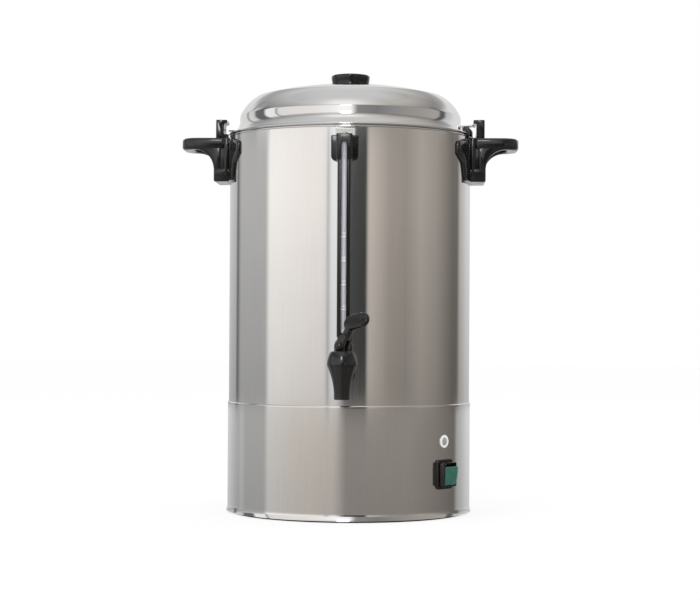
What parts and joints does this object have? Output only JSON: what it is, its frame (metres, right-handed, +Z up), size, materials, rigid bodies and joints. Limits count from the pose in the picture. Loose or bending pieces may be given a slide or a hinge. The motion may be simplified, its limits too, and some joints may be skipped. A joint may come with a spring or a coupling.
{
  "type": "coffee urn",
  "caption": "Upright stainless coffee urn with a heater base, side handles, sight gauge, lever tap, rocker switch and twist-lock lid over a percolator basket.",
  "frame": {"origin": "on the tank's axis at floor level, in the middle of the foot ring's underside", "axes": "+Z up, -Y to the front where the tap and gauge are, +X to the right as seen from the front"},
  "size_m": [0.3628, 0.3302, 0.474],
  "materials": {
    "shell_steel": "satin rolled stainless sheet",
    "inner_steel": "plain stainless sheet and bar",
    "fasteners": "zinc plated steel",
    "brew_aluminium": "spun and drawn aluminium",
    "black_moulding": "heat resistant black moulding",
    "black_trim": "black thermoplastic",
    "rocker_green": "tinted translucent green moulding",
    "lamp_ring": "bright plated ring",
    "lamp_clear": "frosted lens",
    "seal_rubber": "dark silicone rubber",
    "seat_silicone": "pale silicone rubber",
    "terminal_brass": "bare brass",
    "element_sheath": "oxidised tubular element",
    "control_body": "phenolic control body",
    "block_ceramic": "glazed steatite",
    "wire_sleeve": "silicone insulated wire",
    "clear_glass": "clear glass"
  },
  "bodies": {
    "urn": {"base_skirt": "shell_steel", "bottom_plate": "inner_steel", "foot_ring": "black_trim", "foot_screws": "fasteners", "tie_rods": "inner_steel", "tie_nuts": "fasteners", "tank_wall": "shell_steel", "tank_floor": "inner_steel", "heater_plate": "brew_aluminium", "boil_element": "element_sheath", "heater_nut": "fasteners", "warm_element": "element_sheath", "thermostat": "control_body", "thermal_cutout": "control_body", "terminal_block": "block_ceramic", "wiring_loom": "wire_sleeve", "power_inlet": "black_trim", "inlet_pins": "terminal_brass", "inlet_screws": "fasteners", "switch_bezel": "black_trim", "switch_terminals": "terminal_brass", "lamp_bezel": "lamp_ring", "lamp_lens": "lamp_clear", "lamp_nut": "fasteners", "lamp_bulb": "clear_glass", "handle_left": "black_moulding", "handle_right": "black_moulding", "handle_studs": "inner_steel", "handle_nuts": "fasteners", "tap_body": "black_moulding", "tap_gaskets": "seal_rubber", "tap_nut": "black_moulding", "tap_bonnet": "black_moulding", "gauge_tube": "clear_glass", "gauge_guard": "black_moulding", "gauge_cap": "black_moulding", "gauge_collar": "black_moulding", "gauge_seals": "seal_rubber", "gauge_strap": "shell_steel", "gauge_screw": "fasteners"},
    "knob": {"lid_knob": "black_moulding", "knob_screw": "fasteners", "knob_washer": "seal_rubber"},
    "lid": {"lid_shell": "shell_steel", "lid_collar": "inner_steel", "lid_lugs": "black_moulding", "lid_ears": "shell_steel", "lug_rivets": "fasteners"},
    "pump": {"pump_tube": "brew_aluminium", "pump_foot": "brew_aluminium"},
    "valve": {"pump_valve": "inner_steel"},
    "basket": {"filter_basket": "brew_aluminium"},
    "spreader": {"basket_spreader": "brew_aluminium"},
    "rocker": {"switch_rocker": "rocker_green"},
    "tap_swivel": {"tap_spring": "fasteners"},
    "stem": {"tap_stem": "black_moulding", "tap_seat": "seat_silicone", "lever_pin": "fasteners"},
    "lever": {"tap_lever": "black_moulding"}
  },
  "joints": [
    {"name": "lid_lift", "type": "slide", "parent": "urn", "child": "knob", "axis": [0, 0, 1], "range_m": [0, 0.6]},
    {"name": "lid_twist", "type": "hinge", "parent": "knob", "child": "lid", "pos_m": [0, 0, 0.41], "axis": [0, 0, 1], "range_deg": [0, 12]},
    {"name": "pump_lift", "type": "slide", "parent": "urn", "child": "pump", "axis": [0, 0, 1], "range_m": [0, 0.33]},
    {"name": "basket_lift", "type": "slide", "parent": "pump", "child": "basket", "axis": [0, 0, 1], "range_m": [0, 0.09]},
    {"name": "spreader_lift", "type": "slide", "parent": "basket", "child": "spreader", "axis": [0, 0, 1], "range_m": [0, 0.06]},
    {"name": "valve_slide", "type": "slide", "parent": "pump", "child": "valve", "axis": [0, 0, 1], "range_m": [0, 0.003]},
    {"name": "switch_rock", "type": "hinge", "parent": "urn", "child": "rocker", "pos_m": [0.1037, -0.08248, 0.047], "axis": [-0.6225, -0.7826, 0], "range_deg": [0, 18]},
    {"name": "lever_swivel", "type": "hinge", "parent": "urn", "child": "tap_swivel", "pos_m": [0, -0.174, 0.16], "axis": [0, 0, 1], "range_deg": [-120, 15]},
    {"name": "stem_lift", "type": "slide", "parent": "tap_swivel", "child": "stem", "axis": [0, 0, 1], "range_m": [0, 0.0051], "deforming": ["tap_spring"]},
    {"name": "lever_tilt", "type": "hinge", "parent": "stem", "child": "lever", "pos_m": [0, -0.174, 0.18], "axis": [0.5, 0.866, 0], "range_deg": [0, 45], "stiffness_Nm_per_rad": 0.04, "springref_deg": -17.19}
  ],
  "couplings": [
    {"joint": "pump_lift", "follows": "lid_lift", "ratio": 0.55},
    {"joint": "basket_lift", "follows": "lid_lift", "ratio": 0.15},
    {"joint": "spreader_lift", "follows": "lid_lift", "ratio": 0.1},
    {"joint": "stem_lift", "follows": "lever_tilt", "m_per_rad": 0.0064}
  ]
}
